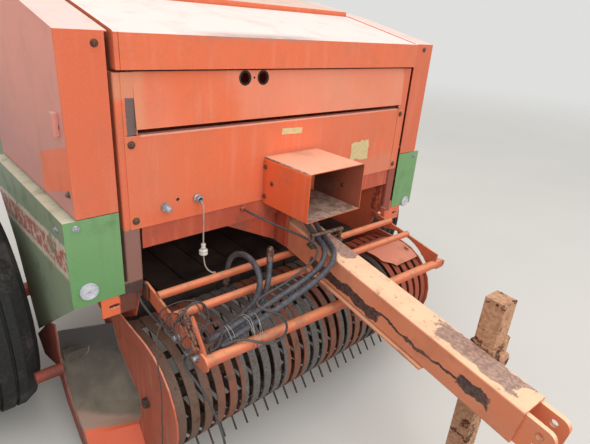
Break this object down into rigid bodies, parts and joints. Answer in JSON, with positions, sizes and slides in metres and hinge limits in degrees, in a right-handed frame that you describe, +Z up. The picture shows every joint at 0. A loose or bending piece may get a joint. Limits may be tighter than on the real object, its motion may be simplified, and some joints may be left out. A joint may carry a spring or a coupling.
{
  "type": "round baler",
  "caption": "Towed fixed-chamber round baler with offset drawbar, parking stand, tined pickup, opening hood, side doors and a rear tailgate lifted by rams.",
  "frame": {"origin": "on the ground, under the middle of the whole machine's box", "axes": "+Z up, travel towards -Y (the drawbar points to -Y), +X to the machine's left"},
  "size_m": [2.346, 2.6141, 1.7249],
  "materials": {
    "frame_paint": "old orange paint",
    "panel_paint": "faded orange paint",
    "drawbar_paint": "worn orange paint, bleached on top",
    "tube_paint": "rusting orange paint",
    "shield_paint": "dirty orange paint",
    "band_paint": "orange and bare grey bands",
    "rim_paint": "dull orange paint",
    "green_paint": "faded green paint",
    "gearbox_iron": "greasy cast iron",
    "shaft_steel": "machined, worn",
    "worn_steel": "worn and rusty",
    "rusty_steel": "rusty yellow-brown",
    "chrome_rod": "bright rod",
    "reflector": "grey lens",
    "belt_rubber": "dusty black rubber",
    "hose_rubber": "dull black rubber",
    "twine_fibre": "greyed twine",
    "pale_plastic": "yellowed white",
    "lamp_red": "red lens, black body",
    "tyre": "worn black rubber"
  },
  "bodies": {
    "root": {"side_frame_left": "frame_paint", "side_frame_right": "frame_paint", "front_crossbeam": "frame_paint", "lower_front_panel": "panel_paint", "upper_front_panel": "panel_paint", "top_cover": "panel_paint", "pto_guard": "panel_paint", "gearbox": "gearbox_iron", "lower_shield_left": "green_paint", "lower_shield_right": "green_paint", "front_reflectors": "reflector", "drawbar": "drawbar_paint", "hitch_clevis": "drawbar_paint", "hose_bridge": "drawbar_paint", "stand_sleeve": "drawbar_paint", "axle_beam": "frame_paint", "floor_belts": "belt_rubber", "belt_rollers": "worn_steel", "windguard": "tube_paint", "twine_guides": "worn_steel", "hose_a": "hose_rubber", "hose_b": "hose_rubber", "hose_coupling_a": "worn_steel", "hose_coupling_b": "worn_steel", "lamp_cable": "hose_rubber", "trip_cable": "hose_rubber", "loose_string": "twine_fibre", "twine_drop": "twine_fibre", "twine_bead": "pale_plastic"},
    "hood": {"hood": "panel_paint"},
    "side_door_left": {"side_door_left": "panel_paint"},
    "side_door_right": {"side_door_right": "panel_paint"},
    "pto_stub": {"pto_stub": "shaft_steel"},
    "stand_leg": {"stand_leg": "rusty_steel"},
    "wheel_left": {"tyre_left": "tyre", "wheel_rim_left": "rim_paint"},
    "wheel_right": {"tyre_right": "tyre", "wheel_rim_right": "rim_paint"},
    "pickup": {"pickup_bands": "band_paint", "pickup_side_left": "frame_paint", "pickup_side_right": "frame_paint", "end_shield_left": "shield_paint", "end_shield_right": "shield_paint"},
    "tine_reel": {"tine_reel": "worn_steel"},
    "tailgate": {"tailgate_side_left": "panel_paint", "tailgate_side_right": "panel_paint", "tailgate_shell": "panel_paint", "tailgate_guard_left": "green_paint", "tailgate_guard_right": "green_paint", "tail_lamps": "lamp_red"},
    "ram_barrel_left": {"ram_barrel_left": "frame_paint"},
    "ram_barrel_right": {"ram_barrel_right": "frame_paint"},
    "ram_rod_left": {"ram_rod_left": "chrome_rod"},
    "ram_rod_right": {"ram_rod_right": "chrome_rod"}
  },
  "joints": [
    {"name": "hood_lid", "type": "hinge", "parent": "root", "child": "hood", "pos_m": [0, 0.20055, 1.524], "axis": [-1, 0, 0], "range_deg": [0, 75]},
    {"name": "left_door", "type": "hinge", "parent": "root", "child": "side_door_left", "pos_m": [0.793, 0.58655, 1.2], "axis": [0, 0, 1], "range_deg": [0, 100]},
    {"name": "right_door", "type": "hinge", "parent": "root", "child": "side_door_right", "pos_m": [-0.793, 0.58655, 1.2], "axis": [0, 0, -1], "range_deg": [0, 100]},
    {"name": "pto_turn", "type": "hinge", "parent": "root", "child": "pto_stub", "pos_m": [-0.013, -0.19145, 0.962], "axis": [0, -1, 0], "continuous": true},
    {"name": "stand_slide", "type": "slide", "parent": "root", "child": "stand_leg", "axis": [0, 0, 1], "range_m": [0, 0.35]},
    {"name": "left_wheel_spin", "type": "hinge", "parent": "root", "child": "wheel_left", "pos_m": [1.028, 0.45855, 0.42], "axis": [1, 0, 0], "continuous": true},
    {"name": "right_wheel_spin", "type": "hinge", "parent": "root", "child": "wheel_right", "pos_m": [-1.028, 0.45855, 0.42], "axis": [1, 0, 0], "continuous": true},
    {"name": "pickup_lift", "type": "hinge", "parent": "root", "child": "pickup", "pos_m": [0, 0.04055, 0.52], "axis": [-1, 0, 0], "range_deg": [-2, 10]},
    {"name": "reel_spin", "type": "hinge", "parent": "pickup", "child": "tine_reel", "pos_m": [0, -0.28645, 0.305], "axis": [1, 0, 0], "continuous": true},
    {"name": "tailgate_lift", "type": "hinge", "parent": "root", "child": "tailgate", "pos_m": [0, 0.61155, 1.628], "axis": [1, 0, 0], "range_deg": [0, 65]},
    {"name": "left_ram_swing", "type": "hinge", "parent": "root", "child": "ram_barrel_left", "pos_m": [0.69, 0.30855, 0.752], "axis": [1, 0, 0], "range_deg": [-0.5, 6.34]},
    {"name": "left_ram_slide", "type": "slide", "parent": "ram_barrel_left", "child": "ram_rod_left", "axis": [0, 0.6424, 0.7663], "range_m": [-0.002, 0.35544]},
    {"name": "right_ram_swing", "type": "hinge", "parent": "root", "child": "ram_barrel_right", "pos_m": [-0.69, 0.30855, 0.752], "axis": [1, 0, 0], "range_deg": [-0.5, 6.34]},
    {"name": "right_ram_slide", "type": "slide", "parent": "ram_barrel_right", "child": "ram_rod_right", "axis": [0, 0.6424, 0.7663], "range_m": [-0.002, 0.35544]}
  ],
  "couplings": [
    {"joint": "left_ram_swing", "follows": "tailgate_lift", "ratio": 0.089847},
    {"joint": "left_ram_slide", "follows": "tailgate_lift", "m_per_rad": 0.31155},
    {"joint": "right_ram_swing", "follows": "tailgate_lift", "ratio": 0.089847},
    {"joint": "right_ram_slide", "follows": "tailgate_lift", "m_per_rad": 0.31155}
  ]
}
